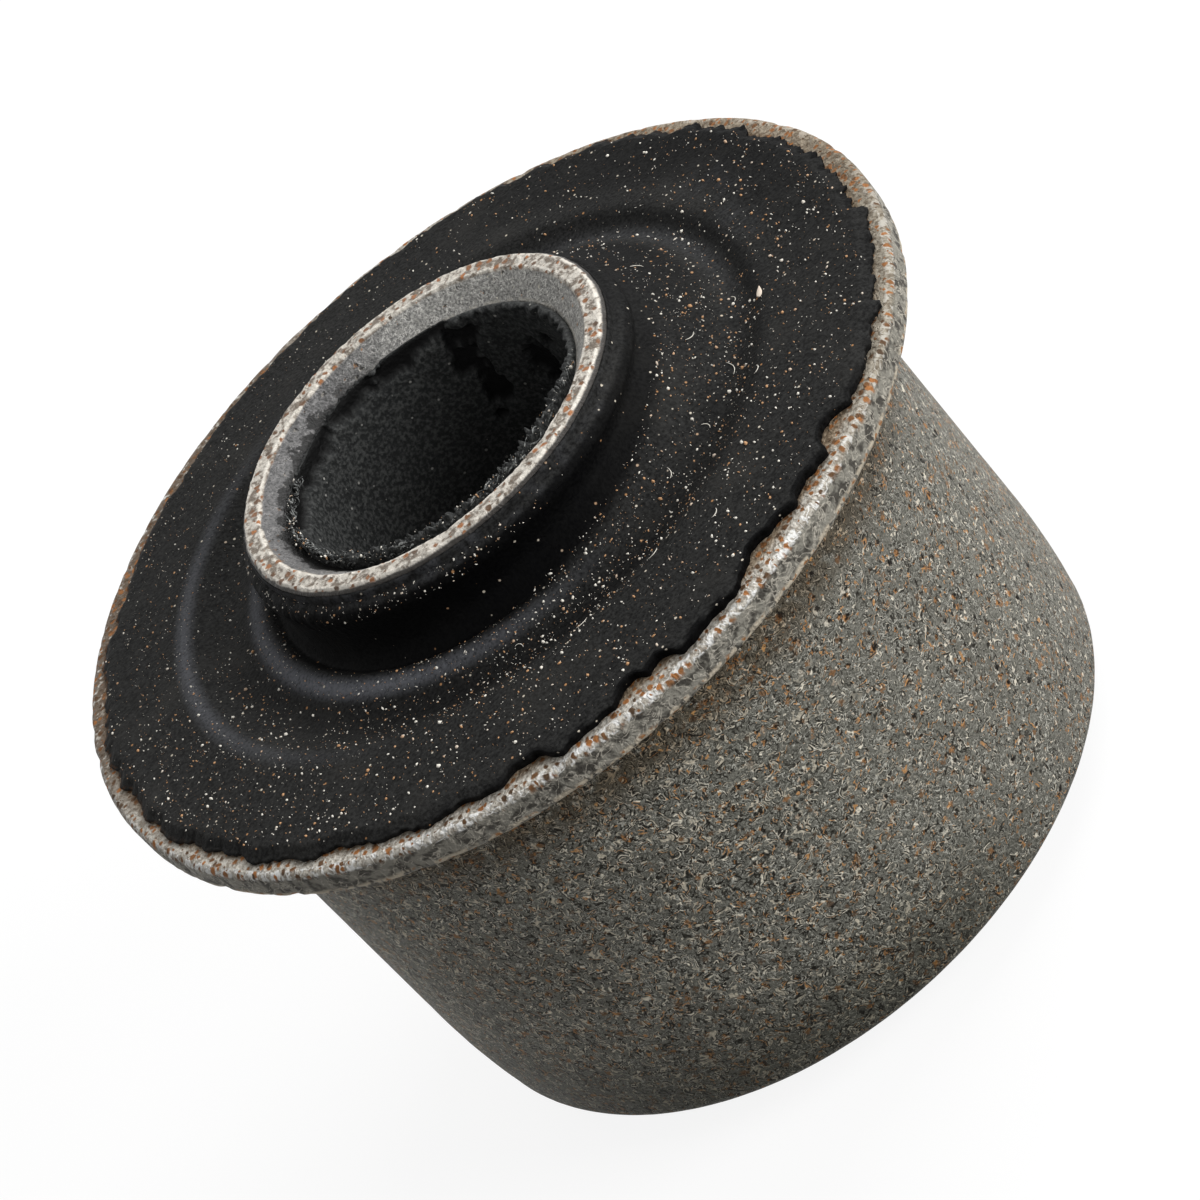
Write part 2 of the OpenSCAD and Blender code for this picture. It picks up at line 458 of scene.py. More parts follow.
def shell_material():
    """Blasted steel with grain, strokes, pits and rust, painted shade low on the left and towards the
    right, brown dirt and painted shadow under the flange, and a scuffed flange with painted highlights.
    """
    s = Shader("worn_shell_steel")
    fine = s.noise(0.13, 2.0, 0.6)
    swirl = s.noise(0.32, 0.5, 0.5, 1.2)
    colour = shell_grain_and_painted_relief(s, fine, swirl)
    rough = s.warped(s.shifted(), 0.18, 0.45)
    rust, tone = s.specks(0.7, 0.28, 0.6, rough)
    colour = s.mix(s.times(rust, 0.8), colour, s.mix(tone, BROWN, (0.34, 0.165, 0.06)))
    colour = shell_strokes(s, colour)
    colour = pits(s, colour, s.moved(rough, (9, 4, 6)), 0.46, 0.17, 0.75)
    colour = pits(s, colour, s.moved(rough, (3, 8, 5)), 0.9, 0.27, 0.5, s.towards(325, 10.0, 20.0))
    # Painted shade: darker low on the left, and a little darker towards the right
    low = s.times(s.step(s.height, shell_end + 10, shell_end + 1), s.towards(215, -2.0, 12.0))
    colour = s.tint(low, colour, (0.45, 0.45, 0.43))
    colour = s.tint(s.towards(340, 8.0, 21.0), colour, (0.95, 0.94, 0.94))
    colour = flange_colour(s, bend_dirt_and_shadow(s, colour, rough))
    s.bump(s.math("ADD", s.times(fine, 0.35), swirl), 0.12)
    roughness = s.step(fine, -0.6, 1.4)
    return s.finish(base_color=colour, metallic=0.1, roughness=roughness, specular_ior_level=0.06)


def rubber_material():
    """Satin black rubber with fine grain, dust, specks, a rust stain along the torn edge, painted
    highlights on its raised rings and painted shade in its hollows.
    """
    s = Shader("worn_rubber")
    grain = s.noise(0.2, 3.0, 0.6)
    haze = s.step(s.noise(5.0, 2.0, 0.6), 0.48, 0.8)
    colour = s.mix(s.step(grain, 0.25, 0.75), (0.008, 0.008, 0.008), (0.034, 0.034, 0.033))
    colour = s.mix(s.times(haze, 0.3), colour, (0.05, 0.048, 0.044))
    # Pale bluish painted highlight on the crest, ridge and collar, and pale dust in patches
    worn = s.times(s.mark("worn"), s.step(grain, 0.1, 0.6))
    colour = s.mix(s.times(worn, 0.85), colour, (0.17, 0.176, 0.195))
    # Near black painted shade in the neck, groove, trough, hollows, the skin far out on the right and the
    # torn skin's broken face
    colour = s.mix(s.times(s.mark("clean"), 0.9), colour, (0.0015, 0.0015, 0.0018))
    speck, tone = s.specks(0.5, 0.10, 0.45)
    colour = s.mix(speck, colour, s.mix(s.step(tone, 0.55, 0.75), CREAM, (0.42, 0.22, 0.10)))
    stain = s.times(s.mark("torn"), s.step(s.noise(0.35, 3.0), 0.46, 0.56))
    colour = s.mix(stain, colour, RUST)
    s.bump(grain, 0.06)
    roughness = s.math("ADD", s.times(grain, 0.25), 0.4)
    return s.finish(base_color=colour, roughness=roughness, specular_ior_level=0.015)


def sleeve_material():
    """Turned steel: a bright, scuffed rim with rust spots and painted highlights on its edges, and a duller
    countersink below it with a painted highlight at its foot.
    """
    s = Shader("worn_sleeve_steel")
    fine = s.noise(0.15, 3.0, 0.6)
    swirl = s.noise(0.4, 2.0, 0.6, 0.6)
    colour = s.mix(s.step(fine, 0.3, 0.7), (0.14, 0.138, 0.132), (0.46, 0.45, 0.42))
    glint = s.times(s.band(swirl, 0.55, 0.04), s.step(s.noise(0.5), 0.42, 0.55))
    colour = s.mix(s.times(glint, 0.8), colour, (0.78, 0.76, 0.71))
    colour = pits(s, colour, s.warped(s.shifted(), 0.16, 0.42), 0.5, 0.16, 0.6)
    colour = s.tint(s.towards(150, 1.0, 8.0), colour, (0.35, 0.35, 0.37))
    rim = s.step(s.height, sleeve_top - 0.24, sleeve_top - 0.14)
    bright = s.mix(s.step(s.noise(0.5, 3.0, 0.6), 0.40, 0.60), (0.16, 0.13, 0.10), (0.60, 0.56, 0.495))
    colour = s.mix(rim, colour, bright)
    # Painted highlights along the rim's inner and outer edges
    inner = s.times(s.band(s.radius, mouth_r + 0.05, 0.2), rim)
    outer = s.times(s.band(s.radius, sleeve_r - chamfer, 0.2), rim)
    edge = s.times(s.math("MAXIMUM", inner, outer), s.step(s.noise(0.6, 2.0), 0.44, 0.50))
    colour = s.mix(edge, colour, (0.70, 0.66, 0.59))
    below = s.times(s.step(s.radius, mouth_r, sleeve_r - chamfer), s.math("SUBTRACT", 1.0, rim))
    colour = s.mix(below, colour, (0.035, 0.031, 0.027))
    # Painted highlight: a broken pale line at the foot of the countersink, just above the lining
    ledge = s.times(s.band(s.height, lining_top + 0.08, 0.12), s.step(s.noise(0.5), 0.4, 0.5))
    colour = s.mix(ledge, colour, (0.40, 0.38, 0.34))
    ragged = s.times(s.math("SUBTRACT", s.noise(0.9, 4.0, 0.65), 0.5), 2.2)
    smear = s.step(s.math("ADD", s.height, ragged), lining_top + 0.65, lining_top + 0.5)
    smear = s.times(smear, s.towards(190, -4.0, 3.0))
    colour = s.mix(smear, colour, (0.012, 0.0115, 0.011))
    spot, tone = s.specks(0.55, 0.26, 0.8, s.warped(s.shifted(), 0.3, 0.3), flat=True)
    rust = s.mix(tone, BROWN, (0.36, 0.14, 0.045))
    colour = s.mix(s.times(spot, rim), colour, rust)
    s.bump(s.math("ADD", s.times(fine, 0.5), swirl), 0.14)
    roughness = s.step(fine, -0.5, 1.5)
    return s.finish(base_color=colour, metallic=0.15, roughness=roughness, specular_ior_level=0.3)


def lining_material(name="worn_lining", gloss=0.55, pale=0.07):
    """Matt black lining with a fine grain and pale specks, with painted shade in the hollows of its tears.
    """
    s = Shader(name)
    grain = s.noise(0.24, 3.0, 0.6)
    colour = s.mix(s.step(grain, 0.4, 0.68), (0.016, 0.017, 0.017), (pale, 1.03 * pale, pale))
    speck, _ = s.specks(0.6, 0.11, 0.5)
    colour = s.mix(s.times(speck, 0.8), colour, (0.40, 0.39, 0.36))
    # Painted shade in the hollows of the tears
    colour = s.mix(s.mark("torn"), colour, (0.001, 0.001, 0.001))
    s.bump(grain, 0.1)
    roughness = s.math("ADD", s.times(grain, 0.2), gloss)
    return s.finish(base_color=colour, roughness=roughness, specular_ior_level=0.15)


def grit_material():
    """Cream to rust-brown grains and fibres; each grain carries its own tone."""
    s = Shader("grit")
    tone = s.mark("tone")
    colour = s.mix(s.step(tone, 0.45, 0.7), (0.90, 0.86, 0.77), (0.54, 0.28, 0.12))
    colour = s.mix(s.times(s.noise(0.08), 0.3), colour, (0.30, 0.26, 0.20))
    return s.finish(base_color=colour, roughness=0.7)


def floor_material():
    """White to the camera and in reflections, with a faint shadow, and grey to bounced light."""
    s = Shader("floor")
    path = s.node("ShaderNodeLightPath").outputs
    seen = s.math("MAXIMUM", path["Is Camera Ray"], path["Is Glossy Ray"])
    seen = s.math("MAXIMUM", seen, path["Is Transmission Ray"])
    pale = s.node("ShaderNodeBsdfDiffuse", {"Color": (0.16, 0.16, 0.16, 1)})
    glow = s.node("ShaderNodeEmission", {"Color": (1, 1, 1, 1), "Strength": 0.88})
    shown = s.node("ShaderNodeAddShader", {0: pale.outputs[0], 1: glow.outputs[0]})
    dull = s.node("ShaderNodeBsdfDiffuse", {"Color": (0.12, 0.12, 0.12, 1)})
    both = s.node("ShaderNodeMixShader", {0: seen, 1: dull.outputs[0], 2: shown.outputs[0]})
    s.tree.links.new(both.outputs[0], s.tree.nodes["Material Output"].inputs["Surface"])
    return s.material


# Pieces

def torn_edge(angle):
    """Radius of the skin's torn edge and how much of a chip is there, at angles in degrees."""
    turn = np.radians(angle)
    depth = np.zeros_like(angle)
    chip = np.zeros_like(angle)
    for centre, width, taken in chips:
        share = np.maximum(0, 1 - ((angle - centre) / width) ** 2)
        depth = np.maximum(depth, taken * share)
        chip = np.maximum(chip, np.sqrt(share))
    wander = 0.5 * np.sin(17 * turn + np.radians(40))
    wander += 0.3 * np.sin(41 * turn + np.radians(10))
    wander += 0.2 * np.sin(73 * turn + np.radians(80))
    path = skin_r * np.stack([np.cos(turn), np.sin(turn), np.zeros_like(turn)], axis=-1)
    teeth = 0.26 * ripple(path, 1.3) + 0.24 * ripple(path, 0.55, 9.1)
    teeth += bell(angle, 355, 70) * (0.34 * ripple(path, 0.27, 4.7) - 0.4)
    mean = skin_r + drift * np.cos(turn - math.radians(drift_angle))
    return mean - depth + fray * wander + teeth, chip


def make_shell():
    """Drawn shell with a worn, slightly uneven flange."""
    profile = np.concatenate([
        arc((lead_r(toe_z, toe_r), toe_z), toe_r, -90, 0, 8),
        lead_curve(toe_z, lead_start, 0, 14),
        line((body_r, lead_start), (body_r, -bend_r), 34),
        arc((flat_r, -bend_r), bend_r, 180, 90, 10),
        line((flat_r, 0), (flange_r - rim_r, 0), 9),
        arc((flange_r - rim_r, rim_r), rim_r, -90, 0, 7),
        line((flange_r, rim_r), (flange_r, sheet - rim_r), 9),
        arc((flange_r - rim_r, sheet - rim_r), rim_r, 0, 90, 7),
        line((flange_r - rim_r, sheet), (flat_r, sheet), 14),
        arc((flat_r, -bend_r), bend_r + sheet, 90, 180, 5),
        line((body_r - sheet, -bend_r), (body_r - sheet, lead_start), 3),
        lead_curve(lead_start, shell_end, sheet, 8),
        line((lead_r(shell_end, sheet), shell_end), (lead_r(toe_z, toe_r), shell_end), 4),
    ])
    angle = angles(shell_steps)
    radius = profile[:, :1] + 0 * angle
    height = profile[:, 1:]
    outer = smooth(radius, flat_r, flange_r)
    radius = radius - outer * 0.12 * (1 - np.cos(3 * np.radians(angle - 8)))
    grid = spin(radius, height, angle)
    rim = smooth(radius, flange_r - 1.6, flange_r - 0.7) * smooth(grid[..., 2], -0.4, 0.1)
    outside = smooth(radius, body_r - 1.2, body_r - 0.8)
    dents = np.maximum(0, ripple(grid, 1.5)) ** 2 + 0.5 * np.maximum(0, ripple(grid, 0.7, 5.3)) ** 2
    peel = ripple(grid, 1.1, 2.2)
    depth = rim * 0.30 * dents + outside * 0.012 * (1 + peel)
    grid = grid - normals(grid) * depth[..., None]
    piece = ring_piece("shell", grid, shell_material())
    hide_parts("outer_shell")


def rubber_top():
    """The rubber's face from the torn edge in to the groove, as (radius, height)."""
    return np.concatenate([
        half_wave((skin_r, flange_top + feather_t), (skin_r - feather_w, skin_top), 6),
        line((skin_r - feather_w, skin_top), (flat_r, skin_top), 3),
        half_wave((flat_r, skin_top), crest, 6),
        half_wave(crest, trough, 10),
        half_wave(trough, ridge, 11),
        half_wave(ridge, groove + (groove_w, 0), 6),
    ])


def web_height(radius, angle):
    """Height of the leaning cone of rubber that hides the groove on the stretched side."""
    lean = math.radians(web_lean)
    turn = np.radians(angle - stretch_angle)
    along = radius * np.cos(turn)
    aside = radius * np.sin(turn)
    height = groove[0] + web_z - radius
    for _ in range(6):
        reach = np.hypot(along * math.cos(lean) + height * math.sin(lean), aside)
        height = (groove[0] + web_z - reach + along * math.sin(lean)) / math.cos(lean)
    return height


def on_web(height, radius, angle):
    """Heights of the face raised on to the web where that stands higher, with a soft bend between."""
    above = web_height(radius, angle) - height
    return height + (above + np.hypot(above, 0.6)) / 2


def rubber_marks(radius, height, angle):
    """Painted highlights on the rubber's crest, ridge and collar, pale dust in patches, and painted shade
    in its neck, trough and hollows.
    """
    on_face = height < lip_z
    # Painted highlights on the crest, the ridge, the rise on the right and the collar's shoulder and film;
    # the patches are pale dust
    crest_share = 0.55 * bell(angle, 165, 70) * bell(radius, crest[0] - 0.1, 0.8)
    ridge_share = 1.15 * bell(angle, 205, 85) * bell(radius, ridge[0] + 0.8, 0.9) * smooth(height, 3.4, 2.8)
    rise = 0.12 * bell(angle, 20, 60) * bell(radius, trough[0] + 0.8, 1.0)
    patchy = np.abs(ripple(spin(radius, height, angle), 0.9, 6.1))
    shoulder = 0.3 * patchy * bell(angle, 250, 110) * smooth(height, lip_z + 0.3, lip_z + 0.6)
    film = 0.6 * patchy * bell(angle, 225, 90) * smooth(height, collar_top - 0.05, collar_top + 0.1)
    patches = bell(angle, 16, 12) * bell(radius, 22, 2) + bell(angle, 1, 9) * bell(radius, 20.5, 1.5)
    dust = 0.5 * patchy * patches
    highlight_and_dust = np.maximum(np.maximum(crest_share, ridge_share), dust) + rise
    worn = on_face * highlight_and_dust + np.maximum(shoulder, film)
    # Painted shade: the neck and groove under the collar, the trough, the bowl and slope on the right, and
    # the skin far out on the right
    inner = smooth(radius, ridge[0] + 0.3, ridge[0] - 0.6) * smooth(height, lip_z + 0.75, lip_z + 0.45)
    clean = inner * (0.4 + 0.6 * bell(angle, 262, 120))
    hollow = 0.66 * bell(angle, 262, 105) * bell(radius, trough[0] + 0.2, 2.7)
    bowl = 0.6 * bell(angle, 10, 70) * bell(radius, crest[0] - 0.9, 0.9)
    slope = 0.75 * bell(angle, 18, 70) * smooth(radius, trough[0] + 0.2, trough[0] - 1.0)
    far = 0.55 * bell(angle, 25, 70) * smooth(radius, crest[0] + 0.4, crest[0] + 2.4)
    for dark in (hollow, bowl, slope, far):
        clean = np.maximum(clean, dark)
    return worn, clean


def rubber_bumps(grid, radius, height, angle):
    """How far the rubber's face swells in small lumps, most on the film that climbs the sleeve."""
    flash = bell(angle, 200, 50) * smooth(height, 3.6, 5.2) * (radius < sleeve_r + 1)
    bumps = 0.03 * ripple(grid, 1.6) + 0.02 * ripple(grid, 0.6, 4.4)
    bumps += 0.16 * flash * np.abs(ripple(grid, 0.7, 7.7))
    bumps += 0.05 * smooth(height, lip_z, lip_z + 0.4) * ripple(grid, 0.5, 3.9)
    return bumps


def edge_marks(clean, angle, chip, first, rim):
    """Rust stain along the torn edge on the far side, and painted shadow on the broken face of its near
    side.
    """
    stain = np.zeros(clean.shape)
    stain[first:rim + 1] = 1
    stain[rim + 1] = 0.4
    stain *= bell(angle, 115, 95)
    broken = np.maximum(bell(angle, 280, 80), bell(angle, 12, 60))
    ragged = smooth(ripple(spin(skin_r, 0.0, angle), 1.2, 3.3), -0.2, 0.2)
    clean = clean.copy()
    # Painted shadow on the broken near face of the torn skin, ragged at its inner edge
    clean[first:rim] = np.maximum(clean[first:rim], broken)
    clean[rim:rim + 3] = np.maximum(clean[rim:rim + 3], broken * np.maximum(ragged, chip))
    return stain, clean


def make_rubber():
    """Moulded rubber with its waves, web, collar and torn skin."""
    sunk = flange_top - 0.04
    under_wall = (lead_r(under_face, sheet), under_face)
    under_mid = ((under_wall[0] + sleeve_r) / 2, under_face + under_hollow)
    wall = [
        lead_curve(under_face, lead_start, sheet, 3),
        arc((flat_r, -bend_r), bend_r + sheet, 180, 90, 3),
        line((flat_r, sunk), (skin_r, sunk), 2),
    ]
    edge_share = np.array([0.0, 0.35, 0.75])[:, None]
    edge = line((skin_r, sunk), (skin_r, flange_top + feather_t), len(edge_share))
    face = rubber_top()
    neck_share = np.linspace(0, 1, 10, endpoint=False)[:, None]
    film = sleeve_r + film_t
    hidden = sleeve_r - 0.03
    rest = [
        line(groove + (groove_w, 0), groove, 2),
        line(groove, (groove[0], lip_z), len(neck_share)),
        arc((sleeve_r, lip_z), collar_t, 0, 84, 7),
        line((film, collar_top), (film, film_top), 3),
        line((hidden, film_top), (hidden, under_face), 2),
        half_wave((sleeve_r, under_face), under_mid, 5),
        half_wave(under_mid, under_wall, 5),
    ]
    profile = np.concatenate(wall + [edge, face] + rest)
    first = sum(len(part) for part in wall)
    rim = first + len(edge)
    foot = rim + len(face) + 2
    neck = slice(foot, foot + len(neck_share))

    angle = angles(rubber_steps)
    torn, chip = torn_edge(angle)
    row = np.arange(len(profile))[:, None]
    radius = profile[:, :1] + 0 * angle
    height = profile[:, 1:] + 0 * angle

    # The skin is stretched out or drawn back to its torn edge, and stands up on the near side.
    on_skin = (row >= first - 2) & (row < rim + 9)
    stretch = (torn - flat_r) / (skin_r - flat_r)
    radius = np.where(on_skin, flat_r + (radius - flat_r) * stretch, radius)
    feathered = (row >= rim) & (row < rim + 6)
    lift = np.maximum(chip, 0.9 * bell(angle, 280, 75))
    height = np.where(feathered, height + lift * (skin_top - height), height)
    height[first:rim] = sunk + edge_share * (height[rim] - sunk)
    radius[first:rim] -= (1 - edge_share) * (0.08 + 0.08 * lift)

    # The web fills the groove on the stretched side, and the neck is waisted on the near side.
    inside = (row >= rim + 15) & (row <= foot)
    height = np.where(inside, on_web(height, radius, angle), height)
    height[neck] = height[foot] + (lip_z - height[foot]) * neck_share
    radius[neck] -= 0.4 * bell(angle, 250, 140) * np.sin(math.pi * neck_share ** 0.7)

    grid = spin(radius, height, angle)
    shown = (row >= rim) & (row < neck.stop + 9)
    bumps = rubber_bumps(grid, radius, height, angle)
    grid = grid + normals(grid) * (shown * bumps)[..., None]
    worn, clean = rubber_marks(radius, height, angle)
    stain, clean = edge_marks(clean, angle, chip, first, rim)
    marks = {"torn": stain, "worn": worn, "clean": clean}
    piece = ring_piece("rubber", grid, rubber_material(), marks)
    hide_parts("rubber_body")


def make_sleeve():
    """Inner sleeve with a worn rim and a countersunk mouth."""
    profile = np.concatenate([
        line((sleeve_r, sleeve_end + chamfer), (sleeve_r, collar_top - 0.5), 10),
        line((sleeve_r, collar_top - 0.5), (sleeve_r, sleeve_top - chamfer), 7),
        line((sleeve_r, sleeve_top - chamfer), (sleeve_r - chamfer, sleeve_top), 4),
        line((sleeve_r - chamfer, sleeve_top), (mouth_r, sleeve_top), 8),
        line((mouth_r, sleeve_top), (bore_r, lining_top), 14),
        line((bore_r, lining_top), (bore_r, lining_end), 4),
        line((bore_r, lining_end), (bore_r + chamfer, sleeve_end), 3),
        line((bore_r + chamfer, sleeve_end), (sleeve_r - chamfer, sleeve_end), 6),
        line((sleeve_r - chamfer, sleeve_end), (sleeve_r, sleeve_end + chamfer), 3),
    ])
    grid = spin(profile[:, :1], profile[:, 1:], angles(sleeve_steps))
    rim = smooth(grid[..., 2], sleeve_top - 0.7, sleeve_top - 0.2)
    mouth = smooth(grid[..., 2], lining_top - 0.1, lining_top + 0.1)
    dents = np.maximum(0, ripple(grid, 1.2)) ** 2 + 0.5 * np.abs(ripple(grid, 0.5, 3.1))
    depth = rim * 0.14 * dents + mouth * 0.03 * (1 + ripple(grid, 0.9, 6.6))
    grid = grid - normals(grid) * depth[..., None]
    piece = ring_piece("sleeve", grid, sleeve_material())
    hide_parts("inner_sleeve")


# Tears in the lining: angle, half width in degrees, height, half height
tears = (
    (80, 20, 5.9, 0.9), (58, 9, 5.0, 1.0), (62, 7, 3.4, 1.4), (60, 6, 1.0, 1.6),
    (66, 3, -0.9, 0.4), (35, 7, 1.6, 1.9), (105, 16, 6.1, 0.9), (130, 20, 6.1, 1.0),
    (155, 18, 6.2, 1.1), (178, 16, 6.4, 1.0), (198, 12, 6.4, 0.9), (24, 4, 3.2, 0.8),
)


def lip_rise(angle):
    """How far the lining's torn lip stands above the end of the bore."""
    return 0.35 * bell(angle, 110, 40) + 0.9 * smooth(angle, 120, 175) * smooth(angle, 345, 310)


def make_lining():
    """Bore lining with a ragged lip and deep tears below the mouth."""
    profile = np.concatenate([
        line((bore_r, lining_end), (bore_r, lining_top), 4),
        arc(((bore_r + lining_r) / 2, lining_top), (bore_r - lining_r) / 2, 0, 180, 7),
        line((lining_r, lining_top), (lining_r, lining_top - 9), 44),
        line((lining_r, lining_top - 9), (lining_r, lining_end), 10),
        line((lining_r, lining_end), (bore_r, lining_end), 3),
    ])
    angle = angles(sleeve_steps)
    radius = profile[:, :1] + 0 * angle
    height = profile[:, 1:] + 0 * angle
    base = spin(radius, height, angle)
    upper = smooth(height, lining_top - 1.6, lining_top)
    rag = 0.5 * np.abs(ripple(base, 0.7)) + 0.8 * np.abs(ripple(base, 0.28, 2.8))
    lip = lip_rise(angle)
    height = height + upper * lip * (0.35 + rag)
    torn = np.zeros(radius.shape)
    fuzz = 0.5 * ripple(base, 1.0, 8.2) + 0.3 * ripple(base, 0.4, 1.7)
    for centre, width, level, tall in tears:
        away = np.hypot(((angle - centre + 180) % 360 - 180) / width, (height - level) / tall)
        torn = np.maximum(torn, smooth(away + fuzz, 1.0, 0.7))
    inside = smooth(radius, bore_r - 0.1, lining_r + 0.1)
    rough = 0.04 * ripple(base, 0.8, 3.3) + upper * 0.3 * ripple(base, 0.4, 5.9)
    radius = radius + inside * (0.42 * torn + np.clip(rough, -0.2, 0.3) * (1 - torn))
    grid = spin(radius, height, angle)
    piece = ring_piece("lining", grid, lining_material(), {"torn": inside * torn})
    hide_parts("bore_lining")


# Loose bits

def lump_shape(level):
    """Points and faces of a unit ball of triangles."""
    ball = bmesh.new()
    bmesh.ops.create_icosphere(ball, subdivisions=level, radius=1)
    points = np.array([vert.co for vert in ball.verts])
    faces = np.array([[vert.index for vert in face.verts] for face in ball.faces])
    ball.free()
    return points, faces


def lumps(centres, sizes, level, rough):
    """Irregular closed lumps at centres, with sizes as three half widths each."""
    ball, faces = lump_shape(level)
    points = []
    for number, (centre, size) in enumerate(zip(centres, sizes)):
        turn = np.array(Matrix.Rotation(rng.uniform(0, math.tau), 3, rng.normal(size=3).tolist()))
        swell = 1 + rough * ripple(ball, 0.7, 11.0 * number)[:, None]
        points.append(centre + (ball * swell * size) @ turn.T)
    all_faces = np.concatenate([faces + len(ball) * number for number in range(len(points))])
    return np.concatenate(points), all_faces.tolist()


def tube(path, radius, sides=6):
    """Points and faces of a thin closed thread along a path."""
    ahead = np.gradient(path, axis=0)
    ahead /= np.linalg.norm(ahead, axis=1, keepdims=True)
    across = np.cross(ahead, (0.31, 0.52, 0.79))
    across /= np.linalg.norm(across, axis=1, keepdims=True)
    over = np.cross(ahead, across)
    taper = radius * np.sin(np.linspace(0.5, math.pi - 0.5, len(path)))[:, None]
    rings = []
    for angle in np.linspace(0, math.tau, sides, endpoint=False):
        rings.append(path + taper * (math.cos(angle) * across + math.sin(angle) * over))
    points = np.stack(rings, axis=1).reshape(-1, 3)
    faces = [list(range(sides))[::-1], list(range(len(points) - sides, len(points)))]
    for row in range(len(path) - 1):
        for side in range(sides):
            here = row * sides + side
            after = row * sides + (side + 1) % sides
            faces.append([here, after, after + sides, here + sides])
    return points, faces


def joined(shapes):
    """Points and faces of several shapes as one list of each."""
    points = []
    faces = []
    start = 0
    for shape_points, shape_faces in shapes:
        points.append(shape_points)
        faces += [[start + corner for corner in face] for face in shape_faces]
        start += len(shape_points)
    return np.concatenate(points), faces


def face_point(radius, angle):
    """Point of the rubber's face at a radius and an angle in degrees."""
    face = rubber_top()[::-1]
    height = np.interp(radius, face[:, 0], face[:, 1])
    return spin(radius, on_web(height, radius, angle), angle)


def make_grit():
    """Grains of dirt and metal on the rubber's face, thickest round the near side of the ridge."""
    count = 20000
    radius = np.sqrt(rng.uniform((groove[0] + 0.5) ** 2, (skin_r - 0.3) ** 2, count))
    angle = rng.uniform(0, 360, count)
    near = np.maximum(bell(angle, 275, 70), bell(angle, 330, 50))
    thick = near * smooth(radius, crest[0], ridge[0] + 2)
    dense = 0.34 + 0.12 * bell(angle, 200, 80) - 0.18 * bell(angle, 70, 80) + 0.7 * thick
    torn, _ = torn_edge(angle)
    kept = (rng.uniform(0, 1, count) < dense) & (radius < torn - 0.4)
    centres = face_point(radius[kept], angle[kept])
    size = 0.015 + 0.055 * rng.uniform(0, 1, len(centres)) ** 6
    size *= 1 - 0.35 * bell(angle[kept], 115, 110)
    sizes = size[:, None] * rng.uniform(0.4, 2.2, (len(centres), 3))
    points, faces = lumps(centres, sizes, 1, 0.5)
    tone = np.repeat(rng.uniform(0, 1, len(centres)), len(points) // len(centres))
    new_piece("grit", points, faces, grit_material(), {"tone": tone})


# Fibres lying on the face: angle and radius of the middle, length, heading in degrees, curl
fibres = (
    (283, 18.8, 1.1, 20, 2.2), (326, 17.0, 1.3, 75, 1.6), (321, 19.2, 0.9, 40, 2.6),
    (267, 18.4, 1.0, 10, 2.0), (300, 15.6, 0.8, 60, 1.4), (312, 16.4, 0.7, 110, 2.4),
    (335, 15.2, 0.9, 30, 1.2), (345, 17.6, 0.7, 80, 2.0), (292, 21.3, 0.8, 35, 1.8),
    (255, 16.2, 0.7, 120, 2.2), (5, 14.6, 0.8, 140, 1.5), (28, 16.1, 0.6, 60, 2.0),
)


def make_fibres():
    """Short curled fibres on the rubber's face, and one pale flake."""
    shapes = []
    for angle, radius, length, heading, curl in fibres:
        share = np.linspace(-0.5, 0.5, 11)
        turn = math.radians(heading) + curl * share
        step = length * np.stack([np.cos(turn), np.sin(turn)], axis=1) / len(share)
        middle = radius * np.array([math.cos(math.radians(angle)), math.sin(math.radians(angle))])
        path = middle + np.cumsum(step, axis=0) - step.sum(axis=0) / 2
        turned = np.degrees(np.arctan2(path[:, 1], path[:, 0]))
        path = face_point(np.hypot(path[:, 0], path[:, 1]), turned) + (0, 0, 0.05)
        shapes.append(tube(path, 0.024))
    thread_points = sum(len(points) for points, _ in shapes)
    ball, ball_faces = lump_shape(2)
    lie = np.array(Matrix.Rotation(math.radians(62), 3, "Z"))
    leaf = ball * (0.5, 0.17, 0.05)
    leaf[:, 1] *= 1 - 0.5 * ball[:, 0]
    leaf *= 1 + 0.25 * ripple(ball, 0.6, 2.9)[:, None]
    leaf = leaf @ lie.T + face_point(np.array(19.4), np.array(340.0)) + (0, 0, 0.06)
    shapes.append((leaf, ball_faces.tolist()))
    points, faces = joined(shapes)
    tone = np.where(np.arange(len(points)) < thread_points, 0.0, 0.55)
    new_piece("fibres", points, faces, grit_material(), {"tone": tone})


def make_shreds():
    """Torn curls along the lining's lip."""
    shapes = []
    share = np.linspace(-0.5, 0.5, 9)
    for _ in range(170):
        middle = rng.uniform(142, 336)
        length = rng.uniform(0.3, 1.3)
        curl = rng.uniform(2, 9) * share + rng.uniform(0, math.tau)
        swing = rng.uniform(0.04, 0.2)
        angle = middle + np.degrees(length * share / lining_r)
        radius = lining_r + rng.uniform(0.1, 0.6) + swing * np.cos(curl)
        height = lining_top + lip_rise(middle) * rng.uniform(0.35, 1.0) + swing * np.sin(curl)
        shapes.append(tube(spin(radius, height, angle), rng.uniform(0.02, 0.075)))
    points, faces = joined(shapes)
    new_piece("shreds", points, faces, lining_material("torn_shreds", 0.3, 0.32))


